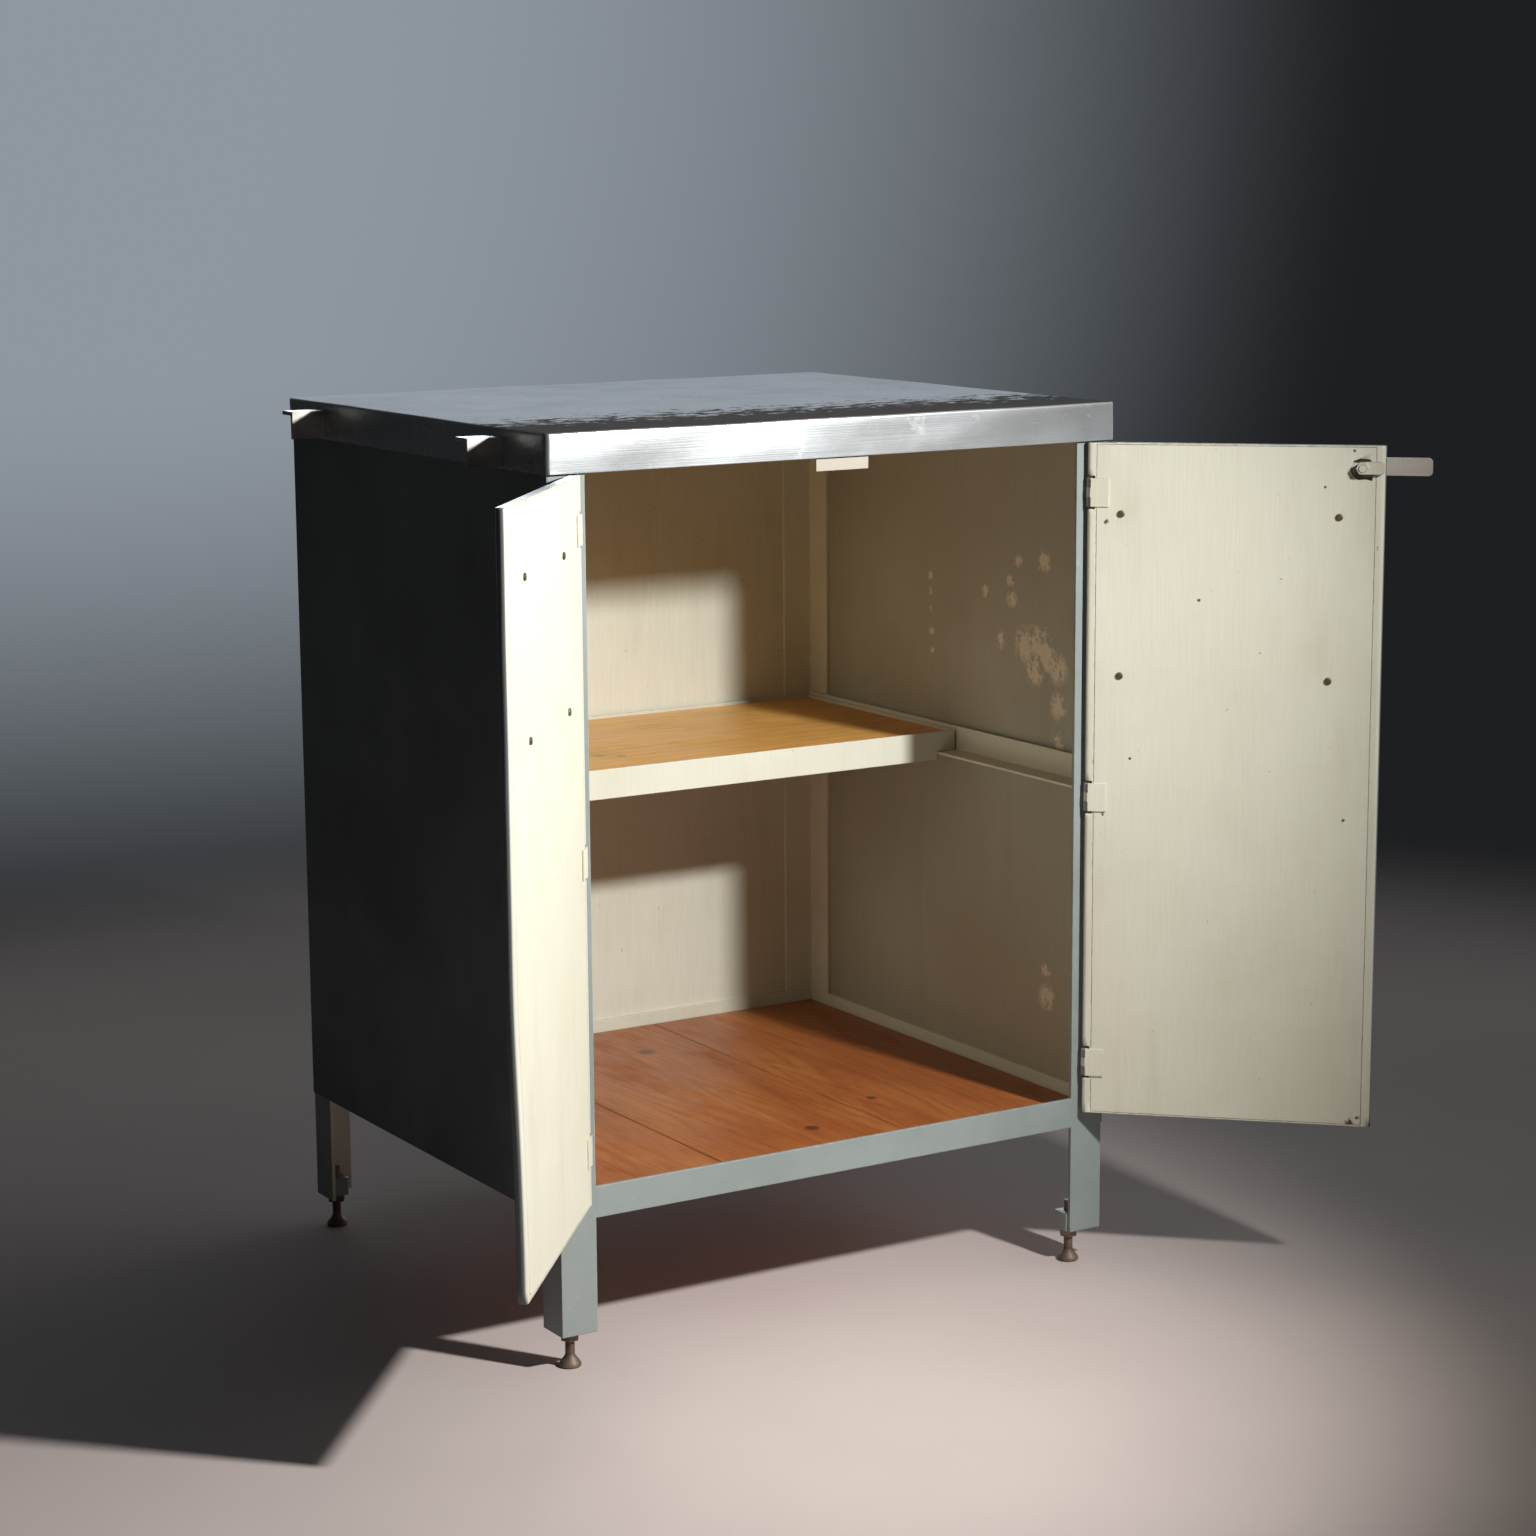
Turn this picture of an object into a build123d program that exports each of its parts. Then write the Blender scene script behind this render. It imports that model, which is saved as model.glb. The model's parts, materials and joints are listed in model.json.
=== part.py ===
from build123d import *
import os
from math import cos, radians, sin, sqrt

os.makedirs("parts", exist_ok=True)

# Two-door steel workshop cabinet on four angle-iron legs, drawn with both doors standing open.
# Millimetres. +X is to the right, -Y is the front, +Z is up, and the floor is Z = 0.
# The pieces are drawn about the middle of the carcass, and moved at the end so that the origin is
# the middle of the floor space that the whole cabinet takes with its doors open.

# Worktop
TOTAL_HEIGHT = 935.0
TOP_WIDTH = 676.0
TOP_DEPTH = 590.0
RIM_HEIGHT = 40.0
RIM_CORNER_RADIUS = 5.0
RIM_FOLD_RADIUS = 2.5
SHEET = 1.5
BOARD_THICKNESS = 18.0
BOARD_GAP = 0.5

# Carcass frame: corner posts and rails are L-shaped bars
HALF_WIDTH = 333.0
FRONT_Y = -289.0
REAR_Y = 291.5
POST_LEG = 40.0
POST_THICKNESS = 4.0
LEG_BOTTOM = 36.0
ROOT_RADIUS = 1.5
TOE_RADIUS = 2.0
BOTTOM_RAIL_LEG = 32.0
BOTTOM_RAIL_Z = 154.0
TOP_RAIL_LEG = 20.0
TOP_RAIL_THICKNESS = 3.0
TOP_SCREW_INSET = 12.0
TOP_SCREW_LENGTH = 14.7
TOP_SCREW_HOLE_DEPTH = 15.0

# Floor of the cabinet: planks that run from front to back
PLANK_THICKNESS = 14.0
PLANK_GAP = 1.7
PLANK_JOINT = 1.0
PLANK_EDGE_CHAMFER = 0.8
PLANK_JOINTS_X = (-121.0, 104.0)

# Shelf
SHELF_RAIL_HEIGHT = 30.0
SHELF_RAIL_WIDTH = 28.0
SHELF_RAIL_Z = 524.0
SHELF_FRONT_Y = -24.0
SHELF_REAR_Y = 286.0
SHELF_HALF_WIDTH = 324.0
SHELF_TOP_Z = 550.0
SHELF_LIP_BOTTOM_Z = 518.0
SHELF_LIP_HALF_WIDTH = 299.0
SHELF_BOARD_THICKNESS = 18.0
RESTING_GAP = 0.2

# Doors: s runs from the hinge axis to the free edge, n runs from the axis towards the inner face
DOOR_BOTTOM = 172.0
DOOR_TOP = 894.0
DOOR_THICKNESS = 10.0
DOOR_REACH = 304.5
DOOR_HEEL = -3.2
INNER_FACE = 4.5
OUTER_FACE = INNER_FACE - DOOR_THICKNESS
DOOR_STANDOFF = 2.0
HINGE_NOTCH_S = 5.2
HINGE_NOTCH_GAP = 2.5
FREE_EDGE_LIP = 10.0
LINER_GAP = 0.3
HINGE_X = 306.0
HINGE_Y = FRONT_Y - DOOR_STANDOFF - INNER_FACE
LEFT_DOOR_OPENING = 130.3
RIGHT_DOOR_OPENING = 136.0
STIFFENER_HEIGHT = 30.0
STIFFENER_MARGIN = 12.0
LEFT_SCREWS = ((80.0, 826.0), (238.0, 826.0), (66.0, 676.0), (227.0, 676.0))
RIGHT_SCREWS = ((33.0, 820.0), (258.0, 820.0), (33.0, 649.0), (250.0, 649.0))

# Small hardware
HINGE_HEIGHTS = (228.0, 518.0, 842.0)
HINGE_HEIGHT = 30.0
KNUCKLE_RADIUS = 4.2
PIN_RADIUS = 1.5
PIN_CLEARANCE = 0.05
LEAF_THICKNESS = 1.5
LEAF_WIDTH = 20.0
LEAF_GAP = 1.5
KNUCKLE_GAP = 0.15
PIN_CAP_HEIGHT = 1.2
PIN_CAP_OVERHANG = 1.0
SCREW_RADIUS = 2.0
SCREW_HEAD_RADIUS = 3.8
SCREW_HEAD_HEIGHT = 1.8
SCREW_HEAD_ROUNDING = 1.1
HOLE_CLEARANCE = 0.1
CUT_OVERRUN = 1.0

# Latch
LATCH_S = 281.0
LATCH_Z = 871.5
SPINDLE_RADIUS = 4.0
LEVER_WIDTH = 18.5
LEVER_THICKNESS = 4.0
LEVER_TIP_S = 351.0
LEVER_STANDOFF = 5.4
LEVER_HEEL = 10.2
LEVER_CORNER_RADIUS = 4.5
LEVER_EDGE_CHAMFER = 0.8
TONGUE_LENGTH = 22.0
TONGUE_WIDTH = 13.0
TONGUE_INNER = 7.5
TONGUE_THICKNESS = 3.0
LATCH_NUT_FLATS = 12.0
LATCH_NUT_HEIGHT = 4.5
SPINDLE_END = 1.0
COLLAR_RADIUS = 5.6
ROSE_RADIUS = 12.0
ROSE_THICKNESS = 3.0
ROSE_ROUNDING = 1.2
STRIKE_HALF_WIDTH = 31.0
STRIKE_BOTTOM = 881.5
STRIKE_TOP = 908.0
STRIKE_THICKNESS = 1.6

# Uneven hole cut in the right door's inner sheet round the spindle: (s, z) from its centre
LATCH_CUT_OUT = (
    (-13.0, -2.0),
    (-10.0, -8.5),
    (-5.0, -13.0),
    (2.5, -12.0),
    (9.0, -13.5),
    (11.0, -6.0),
    (10.0, 3.0),
    (7.0, 8.5),
    (-3.0, 9.5),
    (-9.5, 7.0),
)

# Side brackets
BRACKET_LENGTH = 38.0
BRACKET_HEIGHT = 29.0
BRACKET_WIDTH = 25.0
BRACKET_THICKNESS = 4.0
BRACKET_TOP_Z = 926.0
BRACKET_FRONTS_Y = {"front": -207.0, "rear": 200.0}

# Levelling feet: each is set in by hand, so no two stand quite alike in their posts
FOOT_INSETS = {
    "front_left": (16.0, 15.0),
    "front_right": (31.0, 15.0),
    "rear_left": (16.0, 15.0),
    "rear_right": (20.0, 15.0),
}
STEM_RADIUS = 5.0
STEM_TOP = 68.0
PAD_RADIUS = 11.5
PAD_RIM_HEIGHT = 5.0
PAD_EDGE = 1.5
STEM_CHAMFER = 1.0
PAD_HEIGHT = 12.0
BOSS_SIZE = 22.0
BOSS_CORNER_RADIUS = 2.75
BOSS_HEIGHT = 20.0
JAM_NUT_FLATS = 17.0
JAM_NUT_HEIGHT = 8.0

BOARD_BOTTOM = TOTAL_HEIGHT - SHEET - BOARD_THICKNESS
FLOOR_BASE = BOTTOM_RAIL_Z + POST_THICKNESS
MIDDLE_Y = (FRONT_Y + REAR_Y) / 2
SIDES = {"left": -1, "right": 1}
ENDS = {"front": 1, "rear": -1}
UP = Vector(0, 0, 1)
DOWN = Vector(0, 0, -1)

pieces = []


def keep(part, label):
    """Name a finished piece and put it with the others."""
    part.label = label
    pieces.append(part)


def angle_bar(heel, leg_one, leg_two, sizes, thickness, length):
    """L-shaped bar centred on its heel point: its two legs run along two unit vectors."""
    section_plane = Plane(origin=heel, x_dir=leg_one, z_dir=leg_one.cross(leg_two))
    width, height = sizes
    with BuildPart() as bar:
        with BuildSketch(section_plane) as section:
            with BuildLine():
                Polyline(
                    (0, 0),
                    (width, 0),
                    (width, thickness),
                    (thickness, thickness),
                    (thickness, height),
                    (0, height),
                    close=True,
                )
            make_face()
            corners = section.vertices()
            root = corners.sort_by_distance((thickness, thickness))[0]
            toes = [corners.sort_by_distance(p)[0] for p in ((width, thickness), (thickness, height))]
            fillet(root, radius=ROOT_RADIUS)
            fillet(toes, radius=min(TOE_RADIUS, thickness / 2))
        extrude(amount=length / 2, both=True)
    return bar.part


def plate(low, high):
    """Flat rectangular plate between two opposite corners."""
    with BuildPart() as sheet:
        with BuildSketch(Plane.XY.offset(low[2])):
            with Locations(((low[0] + high[0]) / 2, (low[1] + high[1]) / 2)):
                Rectangle(high[0] - low[0], high[1] - low[1])
        extrude(amount=high[2] - low[2])
    return sheet.part


def with_holes(part, axes, radius, bottom, top):
    """Drill upright round holes through a part at a list of (x, y) points."""
    with BuildPart() as drilled:
        add(part)
        with BuildSketch(Plane.XY.offset(bottom)):
            with Locations(*axes):
                Circle(radius)
        extrude(amount=top - bottom, mode=Mode.SUBTRACT)
    return drilled.part


# ---------------------------------------------------------------- frame

post_length = BOARD_BOTTOM - LEG_BOTTOM
post_middle = (BOARD_BOTTOM + LEG_BOTTOM) / 2
for end, inward_y in ENDS.items():
    corner_y = FRONT_Y if end == "front" else REAR_Y
    for side, sign in SIDES.items():
        heel = (sign * HALF_WIDTH, corner_y, post_middle)
        legs = (Vector(-sign, 0, 0), Vector(0, inward_y, 0))
        post = angle_bar(heel, *legs, (POST_LEG, POST_LEG), POST_THICKNESS, post_length)
        keep(post, f"corner_post_{end}_{side}")

rail_span_x = 2 * (HALF_WIDTH - POST_LEG)
rail_span_y = REAR_Y - FRONT_Y - 2 * POST_LEG
bottom_legs = (BOTTOM_RAIL_LEG, BOTTOM_RAIL_LEG)
top_legs = (TOP_RAIL_LEG, TOP_RAIL_LEG)
top_screw_z = BOARD_BOTTOM - TOP_RAIL_THICKNESS
drill_radius = SCREW_RADIUS + HOLE_CLEARANCE
top_screw_axes = {
    end: [
        (x, (FRONT_Y if end == "front" else REAR_Y) + inward_y * TOP_SCREW_INSET)
        for x in (-rail_span_x / 3, 0, rail_span_x / 3)
    ]
    for end, inward_y in ENDS.items()
}
for end, inward_y in ENDS.items():
    corner_y = FRONT_Y if end == "front" else REAR_Y
    inward = Vector(0, inward_y, 0)
    low_rail = angle_bar((0, corner_y, BOTTOM_RAIL_Z), inward, UP, bottom_legs, POST_THICKNESS, rail_span_x)
    keep(low_rail, f"bottom_rail_{end}")
    high_rail = angle_bar(
        (0, corner_y, BOARD_BOTTOM), inward, DOWN, top_legs, TOP_RAIL_THICKNESS, rail_span_x
    )
    drill_ends = (top_screw_z - CUT_OVERRUN, BOARD_BOTTOM + CUT_OVERRUN)
    high_rail = with_holes(high_rail, top_screw_axes[end], drill_radius, *drill_ends)
    keep(high_rail, f"top_rail_{end}")
for side, sign in SIDES.items():
    inward = Vector(-sign, 0, 0)
    edge_x = sign * HALF_WIDTH
    low_rail = angle_bar(
        (edge_x, MIDDLE_Y, BOTTOM_RAIL_Z), inward, UP, bottom_legs, POST_THICKNESS, rail_span_y
    )
    keep(low_rail, f"bottom_rail_{side}")
    high_rail = angle_bar(
        (edge_x, MIDDLE_Y, BOARD_BOTTOM), inward, DOWN, top_legs, TOP_RAIL_THICKNESS, rail_span_y
    )
    keep(high_rail, f"top_rail_{side}")

# ---------------------------------------------------------------- panels, floor

for side, sign in SIDES.items():
    x_faces = sorted((sign * HALF_WIDTH, sign * (HALF_WIDTH + SHEET)))
    panel = plate((x_faces[0], FRONT_Y, BOTTOM_RAIL_Z), (x_faces[1], REAR_Y, BOARD_BOTTOM))
    keep(panel, f"side_panel_{side}")
back_panel = plate((-HALF_WIDTH, REAR_Y, BOTTOM_RAIL_Z), (HALF_WIDTH, REAR_Y + SHEET, BOARD_BOTTOM))
keep(back_panel, "back_panel")

floor_edge = HALF_WIDTH - POST_THICKNESS - PLANK_GAP
plank_edges = (-floor_edge - PLANK_JOINT / 2, *PLANK_JOINTS_X, floor_edge + PLANK_JOINT / 2)
plank_front = FRONT_Y + POST_THICKNESS + PLANK_GAP
plank_rear = REAR_Y - POST_THICKNESS - PLANK_GAP
for number, (left_edge, right_edge) in enumerate(zip(plank_edges, plank_edges[1:]), start=1):
    with BuildPart() as plank:
        with BuildSketch(Plane.XY.offset(FLOOR_BASE)):
            with Locations(((left_edge + right_edge) / 2, (plank_front + plank_rear) / 2)):
                Rectangle(right_edge - left_edge - PLANK_JOINT, plank_rear - plank_front)
        extrude(amount=PLANK_THICKNESS)
        chamfer(plank.edges().group_by(Axis.Z)[-1].filter_by(Axis.Y), length=PLANK_EDGE_CHAMFER)
    keep(plank.part, f"floor_plank_{number}")

# ---------------------------------------------------------------- worktop

with BuildPart() as worktop_tray:
    with BuildSketch(Plane.XY.offset(TOTAL_HEIGHT - RIM_HEIGHT)):
        RectangleRounded(TOP_WIDTH, TOP_DEPTH, RIM_CORNER_RADIUS)
    extrude(amount=RIM_HEIGHT)
    fillet(worktop_tray.edges().group_by(Axis.Z)[-1], radius=RIM_FOLD_RADIUS)
    with BuildPart(mode=Mode.SUBTRACT) as tray_inside:
        with BuildSketch(Plane.XY.offset(TOTAL_HEIGHT - RIM_HEIGHT)):
            RectangleRounded(TOP_WIDTH - 2 * SHEET, TOP_DEPTH - 2 * SHEET, RIM_CORNER_RADIUS - SHEET)
        extrude(amount=RIM_HEIGHT - SHEET)
        fillet(tray_inside.edges().group_by(Axis.Z)[-1], radius=RIM_FOLD_RADIUS - SHEET)
keep(worktop_tray.part, "worktop_tray")

with BuildPart() as worktop_board:
    board_inset = SHEET + BOARD_GAP
    with BuildSketch(Plane.XY.offset(BOARD_BOTTOM)):
        RectangleRounded(TOP_WIDTH - 2 * board_inset, TOP_DEPTH - 2 * board_inset, RIM_CORNER_RADIUS)
    extrude(amount=BOARD_THICKNESS)
    chamfer(worktop_board.edges().group_by(Axis.Z)[-1], length=RIM_FOLD_RADIUS)
worktop_board = with_holes(
    worktop_board.part,
    top_screw_axes["front"] + top_screw_axes["rear"],
    drill_radius,
    BOARD_BOTTOM - CUT_OVERRUN,
    BOARD_BOTTOM + TOP_SCREW_HOLE_DEPTH,
)
keep(worktop_board, "worktop_board")

with BuildPart() as worktop_screws:
    with BuildSketch(Plane.XY.offset(top_screw_z)):
        with Locations(*top_screw_axes["front"], *top_screw_axes["rear"]):
            Circle(SCREW_RADIUS)
    extrude(amount=TOP_SCREW_LENGTH)
    with BuildSketch(Plane.XY.offset(top_screw_z)):
        with Locations(*top_screw_axes["front"], *top_screw_axes["rear"]):
            Circle(SCREW_HEAD_RADIUS)
    extrude(amount=-SCREW_HEAD_HEIGHT)
    fillet(worktop_screws.edges().group_by(Axis.Z)[0], radius=SCREW_HEAD_ROUNDING)
keep(worktop_screws.part, "worktop_screws")

# ---------------------------------------------------------------- shelf

shelf_rail_x = HALF_WIDTH - POST_THICKNESS
shelf_rail_length = REAR_Y - FRONT_Y - 2 * (POST_THICKNESS + ROOT_RADIUS)
for side, sign in SIDES.items():
    rail = angle_bar(
        (sign * shelf_rail_x, MIDDLE_Y, SHELF_RAIL_Z),
        Vector(-sign, 0, 0),
        UP,
        (SHELF_RAIL_WIDTH, SHELF_RAIL_HEIGHT),
        TOP_RAIL_THICKNESS,
        shelf_rail_length,
    )
    keep(rail, f"shelf_rail_{side}")

shelf_base = SHELF_RAIL_Z + TOP_RAIL_THICKNESS + RESTING_GAP
shelf_depth = SHELF_REAR_Y - SHELF_FRONT_Y
shelf_middle_y = (SHELF_FRONT_Y + SHELF_REAR_Y) / 2
with BuildPart() as shelf_tray:
    with BuildSketch(Plane.XY.offset(shelf_base)):
        with Locations((0, shelf_middle_y)):
            Rectangle(2 * SHELF_HALF_WIDTH, shelf_depth)
    extrude(amount=SHELF_TOP_Z - shelf_base)
    with BuildSketch(Plane.XY.offset(shelf_base + SHEET)):
        with Locations((0, shelf_middle_y)):
            Rectangle(2 * (SHELF_HALF_WIDTH - SHEET), shelf_depth - 2 * SHEET)
    extrude(amount=SHELF_TOP_Z - shelf_base, mode=Mode.SUBTRACT)
    with BuildSketch(Plane.XZ.offset(-SHELF_FRONT_Y)):
        with Locations((0, (SHELF_LIP_BOTTOM_Z + shelf_base + SHEET) / 2)):
            Rectangle(2 * SHELF_LIP_HALF_WIDTH, shelf_base + SHEET - SHELF_LIP_BOTTOM_Z)
    extrude(amount=-SHEET)
keep(shelf_tray.part, "shelf_tray")

shelf_board_gap = SHEET + BOARD_GAP
with BuildPart() as shelf_board:
    with BuildSketch(Plane.XY.offset(shelf_base + SHEET)):
        with Locations((0, shelf_middle_y)):
            Rectangle(2 * (SHELF_HALF_WIDTH - shelf_board_gap), shelf_depth - 2 * shelf_board_gap)
    extrude(amount=SHELF_BOARD_THICKNESS)
    chamfer(shelf_board.edges().group_by(Axis.Z)[-1], length=PLANK_EDGE_CHAMFER)
keep(shelf_board.part, "shelf_board")

# ---------------------------------------------------------------- feet


def foot_axis(place):
    """Point on the floor under a foot, from the heel of its corner post."""
    end, side = place.split("_")
    inset_x, inset_y = FOOT_INSETS[place]
    corner_y = FRONT_Y if end == "front" else REAR_Y
    return (SIDES[side] * (HALF_WIDTH - inset_x), corner_y + ENDS[end] * inset_y)


bore_radius = STEM_RADIUS + PIN_CLEARANCE
for place in FOOT_INSETS:
    foot_x, foot_y = foot_axis(place)
    with BuildPart() as foot_boss:
        with BuildSketch(Plane.XY.offset(LEG_BOTTOM)):
            with Locations((foot_x, foot_y)):
                RectangleRounded(BOSS_SIZE, BOSS_SIZE, BOSS_CORNER_RADIUS)
                Circle(bore_radius, mode=Mode.SUBTRACT)
        extrude(amount=BOSS_HEIGHT)
    keep(foot_boss.part, f"foot_boss_{place}")

    with BuildPart() as levelling_foot:
        with BuildSketch(Plane(origin=(foot_x, foot_y, 0), x_dir=(1, 0, 0), z_dir=(0, -1, 0))):
            with BuildLine():
                Polyline(
                    (0, 0),
                    (PAD_RADIUS - PAD_EDGE, 0),
                    (PAD_RADIUS, PAD_EDGE),
                    (PAD_RADIUS, PAD_RIM_HEIGHT),
                    (STEM_RADIUS + PAD_EDGE, PAD_HEIGHT),
                    (STEM_RADIUS, PAD_HEIGHT),
                    (STEM_RADIUS, STEM_TOP - STEM_CHAMFER),
                    (STEM_RADIUS - STEM_CHAMFER, STEM_TOP),
                    (0, STEM_TOP),
                    close=True,
                )
            make_face()
        revolve(axis=Axis((foot_x, foot_y, 0), (0, 0, 1)))
    keep(levelling_foot.part, f"levelling_foot_{place}")

with BuildPart() as jam_nuts:
    with BuildSketch(Plane.XY.offset(LEG_BOTTOM - JAM_NUT_HEIGHT)):
        with Locations(*[foot_axis(place) for place in FOOT_INSETS]):
            RegularPolygon(JAM_NUT_FLATS / sqrt(3), 6)
            Circle(bore_radius, mode=Mode.SUBTRACT)
    extrude(amount=JAM_NUT_HEIGHT)
keep(jam_nuts.part, "jam_nuts")

# ---------------------------------------------------------------- doors


class Door:
    """Directions of one open door, and the planes that its pieces are drawn on."""

    def __init__(self, side):
        self.side = side
        self.sign = SIDES[side]
        self.opening = LEFT_DOOR_OPENING if side == "left" else RIGHT_DOOR_OPENING
        self.screws = LEFT_SCREWS if side == "left" else RIGHT_SCREWS
        closed = 0 if side == "left" else 180
        heading = radians(closed + self.sign * self.opening)
        self.along = Vector(cos(heading), sin(heading), 0)
        self.axis_x = self.sign * HINGE_X
        # Seen from above, the inner face is to the left of a left door and to the right of a right one.
        self.inner = -self.sign

    def plan(self, height):
        """Level plane at a height, with its origin on the hinge axis and x along the door."""
        return Plane(origin=(self.axis_x, HINGE_Y, height), x_dir=self.along, z_dir=UP)

    def face(self, n):
        """Upright plane at a distance n from the axis, looking out of the inner face."""
        normal = UP.cross(self.along) * self.inner
        origin = Vector(self.axis_x, HINGE_Y, 0) + normal * n
        return Plane(origin=origin, x_dir=self.along, z_dir=normal)

    def face_point(self, s, z):
        """Point on a face plane: its y runs down on a left door and up on a right one."""
        return (s, -self.inner * z)


def block(door, s_span, n_span, z_span, mode=Mode.ADD):
    """Add or cut a block in the open part, by its spans along s, n and z."""
    with BuildSketch(door.plan(z_span[0])) as outline:
        with Locations((sum(s_span) / 2, door.inner * sum(n_span) / 2)):
            Rectangle(s_span[1] - s_span[0], n_span[1] - n_span[0])
    extrude(outline.sketch, amount=z_span[1] - z_span[0], mode=mode)


def round_edged(door, s_span, n_span, z_span, mode=Mode.ADD):
    """Add or cut a block whose two upright edges are half round, by its spans along s, n and z."""
    with BuildSketch(door.plan(z_span[0])) as outline:
        with Locations((sum(s_span) / 2, door.inner * sum(n_span) / 2)):
            SlotOverall(s_span[1] - s_span[0], n_span[1] - n_span[0])
    extrude(outline.sketch, amount=z_span[1] - z_span[0], mode=mode)


def rounds(door, points, radius, n_span, mode=Mode.ADD):
    """Add or cut round bars square to the door, at (s, z) points, from one depth to another."""
    with BuildSketch(door.face(n_span[0])) as outline:
        with Locations(*[door.face_point(s, z) for s, z in points]):
            Circle(radius)
    extrude(outline.sketch, amount=n_span[1] - n_span[0], mode=mode)


def build_door(side):
    """Make the folded shell, liner, stiffeners and screws of one door."""
    door = Door(side)
    s_edge = (DOOR_HEEL, DOOR_REACH)
    n_faces = (OUTER_FACE, INNER_FACE)
    z_ends = (DOOR_BOTTOM, DOOR_TOP)
    hollow_n = (OUTER_FACE + SHEET, INNER_FACE - SHEET)
    hollow_z = (DOOR_BOTTOM + SHEET, DOOR_TOP - SHEET)
    notch_s = (DOOR_HEEL - CUT_OVERRUN, HINGE_NOTCH_S)
    notch_half = HINGE_HEIGHT / 2 + HINGE_NOTCH_GAP
    window_s = (HINGE_NOTCH_S + SHEET, DOOR_REACH - FREE_EDGE_LIP)
    latch = [(LATCH_S, LATCH_Z)]

    with BuildPart() as door_shell:
        round_edged(door, s_edge, n_faces, z_ends)
        for height in HINGE_HEIGHTS:
            block(door, notch_s, n_faces, (height - notch_half, height + notch_half), Mode.SUBTRACT)
        round_edged(door, (window_s[0], DOOR_REACH - SHEET), hollow_n, hollow_z, Mode.SUBTRACT)
        block(door, window_s, (0, INNER_FACE + SHEET), hollow_z, Mode.SUBTRACT)
        rounds(door, door.screws, drill_radius, (OUTER_FACE - CUT_OVERRUN, 0), Mode.SUBTRACT)
        if side == "right":
            spindle_hole = SPINDLE_RADIUS + HOLE_CLEARANCE
            rounds(door, latch, spindle_hole, (OUTER_FACE - CUT_OVERRUN, 0), Mode.SUBTRACT)
    keep(door_shell.part, f"door_{side}_shell")

    liner_s = (window_s[0] + LINER_GAP, window_s[1] - LINER_GAP)
    liner_z = (hollow_z[0] + LINER_GAP, hollow_z[1] - LINER_GAP)
    with BuildPart() as door_liner:
        block(door, liner_s, (INNER_FACE - SHEET, INNER_FACE), liner_z)
        rounds(door, door.screws, drill_radius, (0, INNER_FACE + CUT_OVERRUN), Mode.SUBTRACT)
        if side == "right":
            rim = [door.face_point(LATCH_S + ds, LATCH_Z + dz) for ds, dz in LATCH_CUT_OUT]
            with BuildSketch(door.face(0)):
                with BuildLine():
                    Polyline(*rim, close=True)
                make_face()
            extrude(amount=INNER_FACE + CUT_OVERRUN, mode=Mode.SUBTRACT)
    keep(door_liner.part, f"door_{side}_liner")

    stiffener_s = (window_s[0] + STIFFENER_MARGIN, DOOR_REACH - STIFFENER_MARGIN - 2 * FREE_EDGE_LIP)
    with BuildPart() as door_stiffeners:
        for height in sorted({z for s, z in door.screws}):
            low_z = height - STIFFENER_HEIGHT / 2
            block(door, stiffener_s, hollow_n, (low_z, low_z + STIFFENER_HEIGHT))
            channel_z = (low_z + SHEET, low_z + STIFFENER_HEIGHT - SHEET)
            block(door, (0, DOOR_REACH), (OUTER_FACE, INNER_FACE - 2 * SHEET), channel_z, Mode.SUBTRACT)
        rounds(door, door.screws, drill_radius, n_faces, Mode.SUBTRACT)
    keep(door_stiffeners.part, f"door_{side}_stiffeners")

    with BuildPart() as door_screws:
        rounds(door, door.screws, SCREW_RADIUS, n_faces)
        inside_heads = (INNER_FACE, INNER_FACE + SCREW_HEAD_HEIGHT)
        rounds(door, door.screws, SCREW_HEAD_RADIUS, inside_heads)
        outside_heads = (OUTER_FACE, OUTER_FACE - SCREW_HEAD_HEIGHT)
        rounds(door, door.screws, SCREW_HEAD_RADIUS, outside_heads)
        rims = door_screws.edges().filter_by(GeomType.CIRCLE)
        head_rims = rims.filter_by(lambda e: abs(e.radius - SCREW_HEAD_RADIUS) < 0.01)
        depth_axis = Axis((door.axis_x, HINGE_Y, 0), door.face(0).z_dir)
        depth_groups = head_rims.group_by(depth_axis)
        fillet(depth_groups[0] + depth_groups[-1], radius=SCREW_HEAD_ROUNDING)
    keep(door_screws.part, f"door_{side}_screws")


for side in SIDES:
    build_door(side)

# ---------------------------------------------------------------- hinges

segment = HINGE_HEIGHT / 3
knuckle_bore = PIN_RADIUS + PIN_CLEARANCE
leaf_face = DOOR_STANDOFF + INNER_FACE
pin_reach = HINGE_HEIGHT / 2 + KNUCKLE_GAP
arm_x = (LEAF_GAP + KNUCKLE_RADIUS) / 2

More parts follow.
